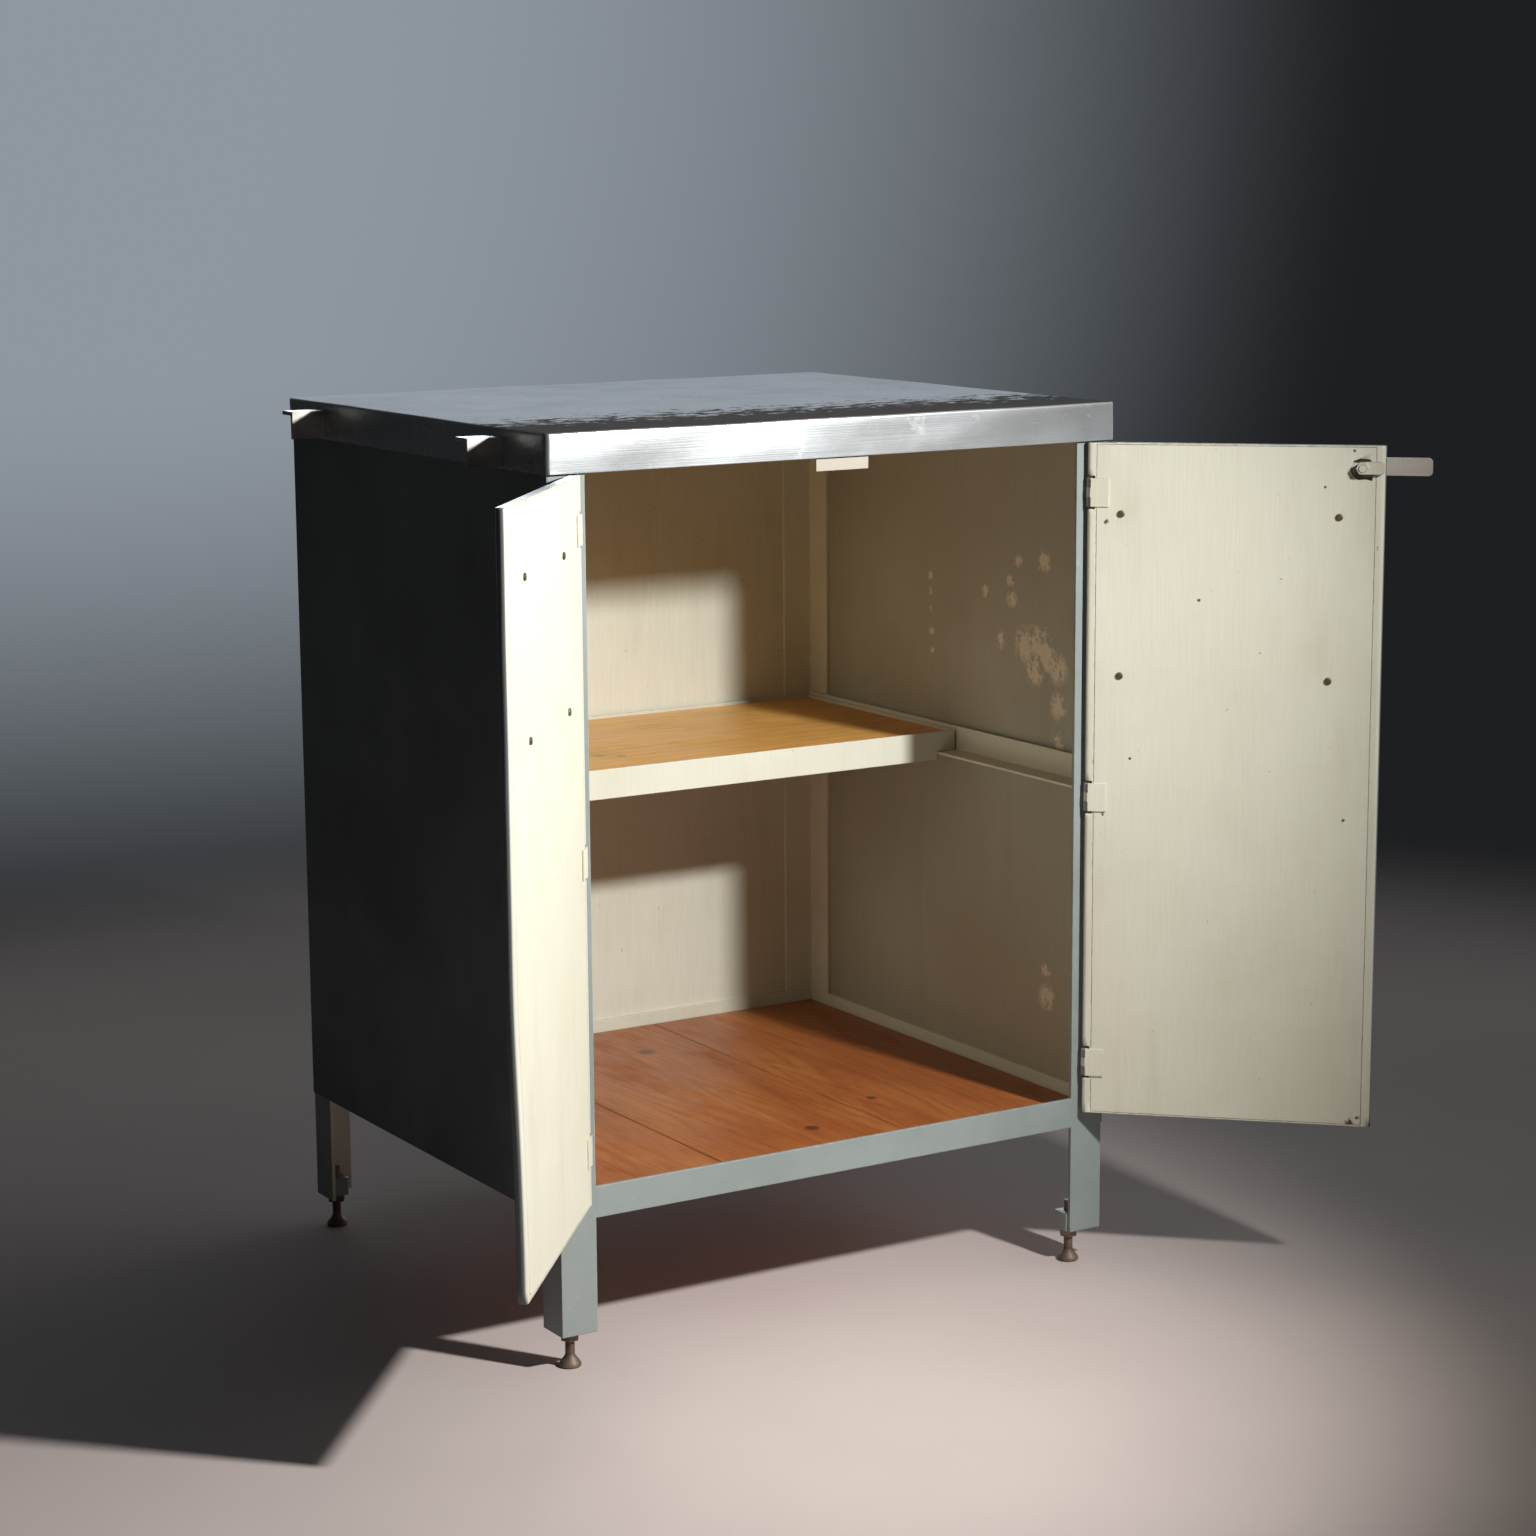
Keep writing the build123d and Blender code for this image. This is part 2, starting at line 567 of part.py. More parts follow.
for side, sign in SIDES.items():
    door = Door(side)
    carcass = Plane(origin=(door.axis_x, HINGE_Y, 0), x_dir=(1, 0, 0), z_dir=UP)

    with BuildPart() as frame_leaves:
        for height in HINGE_HEIGHTS:
            base = height - HINGE_HEIGHT / 2
            with BuildSketch(carcass.offset(base)):
                with Locations((sign * (LEAF_GAP + LEAF_WIDTH / 2), leaf_face - LEAF_THICKNESS / 2)):
                    Rectangle(LEAF_WIDTH, LEAF_THICKNESS)
            extrude(amount=HINGE_HEIGHT)
            for low in (base, base + 2 * segment + KNUCKLE_GAP):
                with BuildSketch(carcass.offset(low)):
                    Circle(KNUCKLE_RADIUS)
                    with Locations((sign * arm_x, leaf_face / 2)):
                        Rectangle(KNUCKLE_RADIUS - LEAF_GAP, leaf_face)
                    Circle(knuckle_bore, mode=Mode.SUBTRACT)
                extrude(amount=segment - KNUCKLE_GAP)
    keep(frame_leaves.part, f"hinge_frame_leaves_{side}")

    with BuildPart() as door_leaves:
        for height in HINGE_HEIGHTS:
            base = height - HINGE_HEIGHT / 2
            leaf_n = (INNER_FACE, INNER_FACE + LEAF_THICKNESS)
            block(door, (LEAF_GAP / 2, LEAF_WIDTH), leaf_n, (base, base + HINGE_HEIGHT))
            with BuildSketch(door.plan(base + segment + KNUCKLE_GAP)):
                Circle(KNUCKLE_RADIUS)
                joggle_n = (KNUCKLE_RADIUS - LEAF_THICKNESS, leaf_n[1])
                with Locations((KNUCKLE_RADIUS / 2, door.inner * sum(joggle_n) / 2)):
                    Rectangle(KNUCKLE_RADIUS, joggle_n[1] - joggle_n[0])
                Circle(knuckle_bore, mode=Mode.SUBTRACT)
            extrude(amount=segment - 2 * KNUCKLE_GAP)
    keep(door_leaves.part, f"hinge_door_leaves_{side}")

    with BuildPart() as hinge_pins:
        for height in HINGE_HEIGHTS:
            with BuildSketch(carcass.offset(height - pin_reach)):
                Circle(PIN_RADIUS)
            extrude(amount=2 * pin_reach)
            for cap in (height - pin_reach - PIN_CAP_HEIGHT, height + pin_reach):
                with BuildSketch(carcass.offset(cap)):
                    Circle(PIN_RADIUS + PIN_CAP_OVERHANG)
                extrude(amount=PIN_CAP_HEIGHT)
    keep(hinge_pins.part, f"hinge_pins_{side}")

# ---------------------------------------------------------------- latch

right_door = Door("right")
latch_point = [(LATCH_S, LATCH_Z)]
latch_centre = right_door.face_point(LATCH_S, LATCH_Z)
outward = Axis((right_door.axis_x, HINGE_Y, 0), right_door.face(0).z_dir)
lever_plane = right_door.face(OUTER_FACE - LEVER_STANDOFF)
lever_heel_s = LATCH_S - LEVER_HEEL
lever_length = LEVER_TIP_S - lever_heel_s
seat_radius = SPINDLE_RADIUS + HOLE_CLEARANCE / 2

with BuildPart() as handle_lever:
    with BuildSketch(lever_plane):
        with Locations(right_door.face_point((lever_heel_s + LEVER_TIP_S) / 2, LATCH_Z)):
            RectangleRounded(lever_length, LEVER_WIDTH, LEVER_CORNER_RADIUS)
        with Locations(latch_centre):
            Circle(seat_radius, mode=Mode.SUBTRACT)
    extrude(amount=-LEVER_THICKNESS)
    chamfer(handle_lever.faces().sort_by(outward)[0].outer_wire().edges(), length=LEVER_EDGE_CHAMFER)
keep(handle_lever.part, "handle_lever")

with BuildPart() as handle_rose:
    rounds(right_door, latch_point, ROSE_RADIUS, (OUTER_FACE, OUTER_FACE - ROSE_THICKNESS))
    fillet(handle_rose.edges().sort_by(outward)[0], radius=ROSE_ROUNDING)
    spindle_bore = SPINDLE_RADIUS + HOLE_CLEARANCE
    rounds(right_door, latch_point, spindle_bore, (OUTER_FACE, OUTER_FACE - LEVER_STANDOFF), Mode.SUBTRACT)
keep(handle_rose.part, "handle_rose")

lever_outer = OUTER_FACE - LEVER_STANDOFF - LEVER_THICKNESS
tongue_top = TONGUE_INNER + TONGUE_THICKNESS
spindle_span = (lever_outer - SPINDLE_END, tongue_top + LATCH_NUT_HEIGHT + SPINDLE_END)
with BuildPart() as handle_spindle:
    rounds(right_door, latch_point, SPINDLE_RADIUS, spindle_span)
    rounds(right_door, latch_point, COLLAR_RADIUS, (OUTER_FACE + SHEET + RESTING_GAP, TONGUE_INNER))
keep(handle_spindle.part, "handle_spindle")

with BuildPart() as latch_tongue:
    with BuildSketch(right_door.face(TONGUE_INNER)):
        with Locations(latch_centre):
            Circle(TONGUE_WIDTH / 2)
        with Locations(right_door.face_point(LATCH_S + TONGUE_LENGTH / 2, LATCH_Z)):
            RectangleRounded(TONGUE_LENGTH, TONGUE_WIDTH, TONGUE_WIDTH / 4)
        with Locations(latch_centre):
            Circle(seat_radius, mode=Mode.SUBTRACT)
    extrude(amount=TONGUE_THICKNESS)
keep(latch_tongue.part, "latch_tongue")

with BuildPart() as latch_nut:
    with BuildSketch(right_door.face(tongue_top)):
        with Locations(latch_centre):
            RegularPolygon(LATCH_NUT_FLATS / sqrt(3), 6)
            Circle(seat_radius, mode=Mode.SUBTRACT)
    extrude(amount=LATCH_NUT_HEIGHT)
keep(latch_nut.part, "latch_nut")

strike_plate = plate(
    (-STRIKE_HALF_WIDTH, FRONT_Y - STRIKE_THICKNESS, STRIKE_BOTTOM),
    (STRIKE_HALF_WIDTH, FRONT_Y, STRIKE_TOP),
)
keep(strike_plate, "strike_plate")

# ---------------------------------------------------------------- side brackets

for end, front_y in BRACKET_FRONTS_Y.items():
    bracket = angle_bar(
        (-(TOP_WIDTH + BRACKET_LENGTH) / 2, front_y, BRACKET_TOP_Z),
        Vector(0, 1, 0),
        DOWN,
        (BRACKET_WIDTH, BRACKET_HEIGHT),
        BRACKET_THICKNESS,
        BRACKET_LENGTH,
    )
    keep(bracket, f"side_bracket_{end}")

# ---------------------------------------------------------------- origin and export

footprint = Compound(children=[piece.moved(Location()) for piece in pieces]).bounding_box()
to_origin = Location((-footprint.center().X, -footprint.center().Y, 0))
for piece in pieces:
    placed = piece.moved(to_origin)
    placed.label = piece.label
    export_step(placed, f"parts/{piece.label}.step")
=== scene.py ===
"""Looks of an old two-door steel workshop cabinet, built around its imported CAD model.

Everything is in metres and in the frame of the CAD model. Places on the carcass are given from the
middle of the worktop, and places on a door by s, from the hinge axis towards the free edge, n, from
the axis towards the inner face, and z, the height above the floor.
"""

import json
import math
from functools import partial

import bmesh
import bpy
import numpy as np
from mathutils import Matrix, Vector

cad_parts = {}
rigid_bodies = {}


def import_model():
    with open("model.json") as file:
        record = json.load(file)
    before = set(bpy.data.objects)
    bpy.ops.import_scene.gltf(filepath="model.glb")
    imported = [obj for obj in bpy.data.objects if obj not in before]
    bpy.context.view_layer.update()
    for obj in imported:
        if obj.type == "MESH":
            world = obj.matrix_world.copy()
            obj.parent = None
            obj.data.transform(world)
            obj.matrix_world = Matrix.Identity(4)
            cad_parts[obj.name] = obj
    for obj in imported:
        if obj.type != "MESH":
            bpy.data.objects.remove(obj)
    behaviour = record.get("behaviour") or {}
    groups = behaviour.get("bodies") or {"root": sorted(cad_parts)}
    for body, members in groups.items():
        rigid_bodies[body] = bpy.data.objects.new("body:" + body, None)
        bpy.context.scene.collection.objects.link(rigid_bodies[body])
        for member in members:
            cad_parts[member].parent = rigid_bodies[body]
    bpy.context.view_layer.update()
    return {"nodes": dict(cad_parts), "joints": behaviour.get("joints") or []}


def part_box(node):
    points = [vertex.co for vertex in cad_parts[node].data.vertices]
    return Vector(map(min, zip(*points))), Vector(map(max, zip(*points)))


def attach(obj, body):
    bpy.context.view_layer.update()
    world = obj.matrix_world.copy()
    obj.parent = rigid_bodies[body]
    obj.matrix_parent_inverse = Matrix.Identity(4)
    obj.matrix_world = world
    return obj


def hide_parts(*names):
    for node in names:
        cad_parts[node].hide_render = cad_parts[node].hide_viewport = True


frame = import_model()
nodes = frame["nodes"]
MM = 0.001

tray_low, tray_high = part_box("worktop_tray")
CENTRE = (tray_low + tray_high) / 2
TOP_Z = tray_high.z


def on_carcass(x, y, z):
    """Point in the model frame from millimetres right of, behind and above the carcass's floor middle."""
    return Vector((CENTRE.x + x * MM, CENTRE.y + y * MM, z * MM))


class Door:
    """Directions of one door as it stands open, from its hinge joint."""

    def __init__(self, side):
        joint = next(j for j in frame["joints"] if j["child"] == f"door_{side}")
        self.side = side
        sign = -1 if side == "left" else 1
        heading = math.radians((0 if side == "left" else 180) - sign * joint["range_deg"][0])
        self.axis = Vector((joint["pos_m"][0], joint["pos_m"][1], 0))
        self.along = Vector((math.cos(heading), math.sin(heading), 0))
        self.inward = Vector((0, 0, 1)).cross(self.along) * -sign

    def place(self, s, n, z):
        """Point in the model frame from millimetres along s, n and z."""
        return self.axis + self.along * s * MM + self.inward * n * MM + Vector((0, 0, z * MM))


DOORS = {side: Door(side) for side in ("left", "right")}

# ---------------------------------------------------------------- camera, lights, floor

CAMERA_PLACE = (-1892.3, -3203.2, 1208.4)
CAMERA_YAW = 31.752
CAMERA_PITCH = -10.269
CAMERA_ROLL = -0.377
CAMERA_LENS = 81.5

camera_data = bpy.data.cameras.new("camera")
camera_data.lens = CAMERA_LENS
camera_data.sensor_width = 36.0
camera_data.clip_end = 60.0
camera = bpy.data.objects.new("camera", camera_data)
bpy.context.scene.collection.objects.link(camera)
camera.matrix_world = (
    Matrix.Translation(on_carcass(*CAMERA_PLACE))
    @ Matrix.Rotation(math.radians(-CAMERA_YAW), 4, "Z")
    @ Matrix.Rotation(math.radians(90 + CAMERA_PITCH), 4, "X")
    @ Matrix.Rotation(math.radians(CAMERA_ROLL), 4, "Z")
)
bpy.context.scene.camera = camera
bpy.context.scene.view_settings.view_transform = "Standard"


def add_light(name, kind, place, target, watts, **settings):
    """Light that hangs at one place and looks at another, both as for on_carcass, and that the camera
    doesn't see."""
    place, target = on_carcass(*place), on_carcass(*target)
    data = bpy.data.lights.new(name, kind)
    data.energy = watts
    for key, value in settings.items():
        setattr(data, key, value)
    light = bpy.data.objects.new(name, data)
    bpy.context.scene.collection.objects.link(light)
    light.location = place
    light.rotation_mode = "QUATERNION"
    light.rotation_quaternion = (target - place).to_track_quat("-Z", "Y")
    light.visible_camera = False
    return light


KEY_PLACE, KEY_TARGET, KEY_WATTS = (445, -1490, 1320), (-400, -330, 530), 176
REAR_PLACE, REAR_TARGET, REAR_WATTS = (1500, 3200, 2000), (0, 0, 500), 110

add_light("key_light", "SPOT", KEY_PLACE, KEY_TARGET, KEY_WATTS,
          spot_size=1.51, spot_blend=1.0, shadow_soft_size=0.05, color=(1.0, 0.985, 0.96))
rear_light = add_light("rear_light", "AREA", REAR_PLACE, REAR_TARGET, REAR_WATTS,
                       shape="DISK", size=2.4, color=(0.92, 0.96, 1.0))

# ---------------------------------------------------------------- shader nodes


def linear(code):
    """Linear RGBA of an sRGB colour written as #rrggbb."""
    channels = [int(code[i : i + 2], 16) / 255 for i in (1, 3, 5)]
    return (*[c / 12.92 if c <= 0.04045 else ((c + 0.055) / 1.055) ** 2.4 for c in channels], 1.0)


def add_node(tree, kind, inputs=None, **settings):
    """Add a shader node with its settings; an input is a value, or a socket to link from."""
    made = tree.nodes.new(kind)
    for key, value in settings.items():
        setattr(made, key, value)
    for key, value in (inputs or {}).items():
        if isinstance(value, bpy.types.NodeSocket):
            tree.links.new(value, made.inputs[key])
        else:
            made.inputs[key].default_value = value
    return made


def product(node, value, factor):
    """A socket times another socket or a number."""
    return node("ShaderNodeMath", {0: value, 1: factor}, operation="MULTIPLY").outputs[0]


def product_plus(node, value, factor, base, **settings):
    """A socket times a number, and another socket added."""
    inputs = {0: value, 1: factor, 2: base}
    return node("ShaderNodeMath", inputs, operation="MULTIPLY_ADD", **settings).outputs[0]


def larger(node, one, other, **settings):
    """The larger of two sockets."""
    return node("ShaderNodeMath", {0: one, 1: other}, operation="MAXIMUM", **settings).outputs[0]


def cosine(node, one, other):
    """Cosine of the angle between two directions of length 1."""
    return node("ShaderNodeVectorMath", {0: one, 1: other}, operation="DOT_PRODUCT").outputs["Value"]


def remap(node, value, low, high, start=0.0, end=1.0, smooth=False):
    """A socket carried from the range low to high onto the range start to end, and held at its ends."""
    return node(
        "ShaderNodeMapRange",
        {"Value": value, "From Min": low, "From Max": high, "To Min": start, "To Max": end},
        interpolation_type="SMOOTHSTEP" if smooth else "LINEAR",
    ).outputs[0]


def blend(node, share, under, over):
    """Colour from under, where share is 0, to over, where it is 1; each is a socket or an sRGB code."""
    under, over = (linear(colour) if isinstance(colour, str) else colour for colour in (under, over))
    return node("ShaderNodeMix", {0: share, 6: under, 7: over}, data_type="RGBA").outputs[2]


# ---------------------------------------------------------------- light from the room

world = bpy.data.worlds.new("studio")
world.use_nodes = True
bpy.context.scene.world = world
world.node_tree.nodes.clear()
sky = partial(add_node, world.node_tree)
heading = sky("ShaderNodeTexCoord").outputs["Generated"]


def sky_share(towards, dim, bright):
    """Share from 0 to 1 of the sky's patch round a direction, from the cosines where it is dim and bright."""
    return remap(sky, cosine(sky, heading, towards), dim, bright, smooth=True)


UP = (0.0, 0.0, 1.0)
above = sky_share(UP, -0.24, -0.06)
behind = product(sky, sky_share((0.20, 0.975, 0.05), 0.86, 0.975), above)
overhead = product(sky, sky_share((0.52, 0.83, 0.19), 0.80, 0.95), sky_share(UP, 0.05, 0.16))
beside = sky_share((0.925, -0.163, 0.342), 0.62, 0.95)
room = blend(sky, behind, "#1e1f21", "#8f979f")
room = blend(sky, overhead, room, "#b9c1ca")
room = blend(sky, beside, room, "#b4b4b2")
glow = sky("ShaderNodeBackground", {"Color": room, "Strength": 1.0})
sky("ShaderNodeOutputWorld", {"Surface": glow.outputs[0]})

# ---------------------------------------------------------------- patterns that the finishes share


def start_finish(name):
    """New material with its tree, a node adder, its shader and the piece's own coordinates."""
    finish = bpy.data.materials.new(name)
    finish.use_nodes = True
    tree = finish.node_tree
    tree.nodes.clear()
    node = partial(add_node, tree)
    shader = node("ShaderNodeBsdfPrincipled")
    node("ShaderNodeOutputMaterial", {"Surface": shader.outputs[0]})
    return finish, node, shader, node("ShaderNodeTexCoord").outputs["Object"]


def mottle(node, place, size_mm, seed, detail=3.0, rough=0.55, low=0.35, high=0.65):
    """Cloudy pattern from 0 to 1, whose patches are about size_mm across along X, Y and Z."""
    scale = Vector([1 / (MM * size) for size in size_mm])
    offset = Vector((seed, seed * 1.7, -seed))
    scaled = node("ShaderNodeMapping", {"Vector": place, "Scale": scale, "Location": offset})
    cloud = node(
        "ShaderNodeTexNoise",
        {"Vector": scaled.outputs[0], "Scale": 1.0, "Detail": detail, "Roughness": rough},
        noise_dimensions="3D",
    )
    return remap(node, cloud.outputs[0], low, high, smooth=True)


def spots(node, place, marks, ragged):
    """Pattern that is 1 inside round marks, each a point and a radius in mm, with a ragged rim."""
    found = None
    for point, radius in marks:
        gap = node("ShaderNodeVectorMath", {0: place, 1: point}, operation="DISTANCE").outputs["Value"]
        torn = product_plus(node, ragged, radius * MM, gap)
        inside = remap(node, torn, radius * MM * 1.5, radius * MM * 0.8)
        found = inside if found is None else larger(node, found, inside)
    return found


def rounded_normal(node, width_mm):
    """Normal that turns over sharp edges as if they were rounded."""
    return node("ShaderNodeBevel", {"Radius": width_mm * MM}, samples=6).outputs[0]


def worn_edges(node, rounded):
    """Pattern that is 1 on sharp edges, where the rounded normal leaves the true one."""
    true = node("ShaderNodeNewGeometry").outputs["Normal"]
    return remap(node, cosine(node, rounded, true), 0.985, 0.85)


def dress(node, shader, relief, relief_mm, rounded, inputs):
    """Link a finish's patterns to its shader, and its relief as bump over the rounded normal."""
    bump = node(
        "ShaderNodeBump",
        {"Strength": 0.3, "Distance": relief_mm * MM, "Height": relief, "Normal": rounded},
    )
    for socket, value in {**inputs, "Normal": bump.outputs[0]}.items():
        shader.id_data.links.new(value, shader.inputs[socket])


PAINT_GLOSS = 0.42
WOOD_GLOSS = 0.4
KNOT = "#33190c"
POOL = "#5f8f80"


def old_paint(name, coat, bare, seed, stroke_mm=(3, 3, 60), chips=0.5, wear=1.0,
              lining=None, rubs=(), dings=(), rub_colour=None):
    """Brushed workshop enamel on steel, many years old: semi-matte, with soft brush strokes, faded clouds,
    grime in long runs, small chips down to primer and bare steel along the edges.

    coat is (paint, faded, grime). lining is (direction, coat): a second coat on faces that look that way.
    rubs and dings are marks where the coat is rubbed pale and where it is dented and dark."""
    finish, node, shader, place = start_finish(name)
    clouds = mottle(node, place, (260, 260, 200), seed, detail=4)
    runs = mottle(node, place, (45, 45, 260), seed + 3, detail=5, low=0.5, high=0.8)
    strokes = mottle(node, place, stroke_mm, seed + 5, detail=4, low=0.3, high=0.7)
    peel = mottle(node, place, (2.2, 2.2, 2.2), seed + 7, detail=2, low=0.2, high=0.8)
    specks = mottle(node, place, (7, 7, 9), seed + 9, detail=5, rough=0.7, low=0.70 - 0.05 * chips, high=0.74)
    torn = mottle(node, place, (9, 9, 9), seed + 11, detail=5, rough=0.65, low=0.45, high=0.62)
    dirt = product(node, runs, 0.18)

    def aged(fresh, faded, grime):
        return blend(node, dirt, blend(node, clouds, fresh, faded), grime)

    colour = aged(*coat)
    if lining is not None:
        direction, inner_coat = lining
        facing = node("ShaderNodeTexCoord").outputs["Normal"]
        inner = remap(node, cosine(node, facing, direction), 0.5, 0.7)
        colour = blend(node, inner, colour, aged(*inner_coat))
    colour = blend(node, product(node, strokes, 0.05), colour, coat[2])
    if rubs:
        rubbed = product(node, spots(node, place, rubs, torn), 0.6)
        colour = blend(node, rubbed, colour, rub_colour)
    rounded = rounded_normal(node, 1.2)
    chipped = product(node, product(node, worn_edges(node, rounded), torn), wear)
    if dings:
        chipped = larger(node, chipped, spots(node, place, dings, torn))
    chipped = larger(node, chipped, specks, use_clamp=True)
    colour = blend(node, chipped, colour, bare)
    dull = remap(node, clouds, 0.0, 1.0, PAINT_GLOSS, PAINT_GLOSS + 0.14)
    relief = product_plus(node, peel, 0.35, product(node, strokes, 0.6))
    relief = product_plus(node, chipped, -1.2, relief)
    dress(node, shader, relief, 0.3, rounded, {"Base Color": colour, "Roughness": dull})
    return finish


def stained_wood(name, light, dark, stain, seed, along, ring_mm=9.0, knots=(), pools=()):
    """Softwood board with an old orange-brown stain and worn varnish: long wavy growth rings, fine pores
    along the grain, darker patches, and satin gloss that is duller where it is worn. along is "X" or "Y"."""
    finish, node, shader, place = start_finish(name)
    long_way = 0 if along == "X" else 1

    def grain(across, length):
        sizes = [across, across, across]
        sizes[long_way] = length
        return tuple(sizes)

    rings = mottle(node, place, grain(55, 900), seed, detail=1.5, low=0.0, high=1.0)
    wobble = mottle(node, place, grain(14, 160), seed + 2, detail=3, low=0.0, high=1.0)
    turns = product_plus(node, rings, 150 / ring_mm, wobble)
    line = node("ShaderNodeMath", {0: turns, 1: 1.0}, operation="PINGPONG").outputs[0]
    late = remap(node, line, 0.35, 0.95, smooth=True)
    pores = mottle(node, place, grain(1.3, 34), seed + 4, detail=4, rough=0.6, low=0.45, high=0.75)
    clouds = mottle(node, place, grain(90, 260), seed + 6, detail=4, low=0.35, high=0.68)
    worn = mottle(node, place, grain(40, 90), seed + 8, detail=5, low=0.5, high=0.75)
    colour = blend(node, product(node, late, 0.4), light, dark)
    colour = blend(node, product(node, clouds, 0.5), colour, stain)
    colour = blend(node, product(node, pores, 0.35), colour, KNOT)
    if pools:
        colour = blend(node, product(node, spots(node, place, pools, worn), 0.6), colour, POOL)
    if knots:
        colour = blend(node, product(node, spots(node, place, knots, worn), 0.7), colour, KNOT)
    dull = remap(node, worn, 0.0, 1.0, WOOD_GLOSS, WOOD_GLOSS + 0.25)
    relief = product_plus(node, pores, -0.8, late)
    dress(node, shader, relief, 0.4, rounded_normal(node, 1.0), {"Base Color": colour, "Roughness": dull})
    return finish


def front_band(node, place, seed, front, depth_mm):
    """Pattern that is 1 in a ragged strip behind a front edge at y = front, on faces that look up."""
    back = node("ShaderNodeSeparateXYZ", {0: place}).outputs[1]
    ragged = mottle(node, place, (26, 16, 26), seed, detail=6, rough=0.72, low=0.3, high=0.7)
    torn = product_plus(node, ragged, -depth_mm * MM, back)
    strip = remap(node, torn, front + depth_mm * MM * 0.45, front + depth_mm * MM * 0.25)
    facing = node("ShaderNodeTexCoord").outputs["Normal"]
    upward = node("ShaderNodeSeparateXYZ", {0: facing}).outputs[2]
    return product(node, strip, remap(node, upward, 0.7, 0.95))


def bare_metal(name, steel, tarnish, rust, seed, brush_mm, rust_share=0.3, gloss=0.32, band=None,
               shine=1.0, spread=0.16):
    """Bare mild steel: metallic, with fine scratches one way, tarnish clouds and brown rust that is rough
    and not metallic.

    shine is how metallic the clean steel is, less where it is oxidised all over, and spread how unevenly it
    is dulled. band is (y, depth in mm): a ragged, worn and rusty strip behind a front edge there."""
    finish, node, shader, place = start_finish(name)
    clouds = mottle(node, place, (70, 70, 40), seed, detail=5, low=0.35, high=0.7)
    scratches = mottle(node, place, brush_mm, seed + 2, detail=5, rough=0.7, low=0.3, high=0.7)
    pits = mottle(node, place, (5, 5, 5), seed + 4, detail=6, rough=0.7, low=0.5, high=0.66)
    patches = mottle(node, place, (38, 38, 26), seed + 6, detail=6, rough=0.68, low=0.60, high=0.70)
    colour = blend(node, clouds, steel, tarnish)
    colour = blend(node, product(node, scratches, 0.175), colour, tarnish)
    rusty = product(node, patches, rust_share)
    if band is not None:
        rusty = larger(node, rusty, front_band(node, place, seed + 8, *band))
    colour = blend(node, rusty, colour, rust)
    metal = remap(node, rusty, 0.0, 1.0, shine, 0.1)
    dull = remap(node, clouds, 0.0, 1.0, gloss, gloss + spread)
    dull = product_plus(node, rusty, 0.4, dull, use_clamp=True)
    relief = product_plus(node, scratches, 0.25, product(node, pits, rusty))
    inputs = {"Base Color": colour, "Metallic": metal, "Roughness": dull}
    dress(node, shader, relief, 0.3, rounded_normal(node, 1.0), inputs)
    return finish


# ---------------------------------------------------------------- finishes of this cabinet

CREAM = ("#dad9c9", "#d2d0be", "#a59c84")
# The next cream is darker as painted shade: it lines the right side panel, which stays in shade inside the
# cabinet.
SHADE_DARKENED_CREAM = ("#aaa99a", "#a3a191", "#7f7864")
FRAME_GREY = ("#929b99", "#858f8d", "#63665f")
SLATE = ("#6f7676", "#636a6b", "#47483f")
STRIKE_CREAM = ("#a39e90", "#959081", "#6d6654")
LATCH_CREAM = ("#cbc7b8", "#b9b4a4", "#7d745f")
INNER_N = 4.5


def door_marks(side, *marks):
    """Marks on a door's inner face, each from s, z and a radius in mm."""
    return [(DOORS[side].place(s, INNER_N, z), radius) for s, z, radius in marks]


def level_marks(z, *marks):
    """Marks on a level face of the carcass, each from x, y and a radius in mm."""
    return [(on_carcass(x, y, z), radius) for x, y, radius in marks]


RIGHT_WALL_X = 333
right_wall_rubs = [
    (on_carcass(RIGHT_WALL_X, y, z), radius)
    for y, z, radius in (
        (39, 718, 4), (39, 700, 4), (38, 680, 4), (36, 655, 4), (35, 634, 4),
        (-116, 728, 6), (-119, 708, 8), (-68, 712, 6), (-144, 660, 16), (-168, 664, 18), (-186, 652, 16),
        (-163, 634, 14), (-205, 640, 14), (-206, 600, 12), (-178, 755, 10), (-130, 750, 7),
        (-190, 272, 12), (-186, 300, 8), (-205, 560, 10), (-100, 660, 8),
    )
]
right_dings = door_marks(
    "right",
    (115, 731, 1.5), (45, 561, 1.3), (269, 502, 1.5), (243, 851, 1.2), (272, 889, 1.4), (130, 888, 1.0),
    (17, 812, 2.4), (17, 500, 2.0), (284, 176, 5.0), (298, 175, 5.0), (301, 186, 4.0), (290, 182, 3.0),
)
left_dings = door_marks(
    "left",
    (290, 884, 3.0), (298, 870, 2.5), (120, 600, 1.2), (250, 330, 1.6), (180, 420, 1.2), (292, 180, 2.5),
)


def frame_paint(name, lining=None):
    """Blue-grey enamel of the angle-iron frame."""
    return old_paint(name, FRAME_GREY, "#cfccc0", 1.0, stroke_mm=(16, 16, 16), wear=0.6, lining=lining)


def panel_paint(name, seed, inward, inner_coat=CREAM, **settings):
    """Slate enamel of a panel, with the cabinet's cream on the face that looks inward."""
    return old_paint(name, SLATE, "#6d6a60", seed, lining=(inward, inner_coat), **settings)


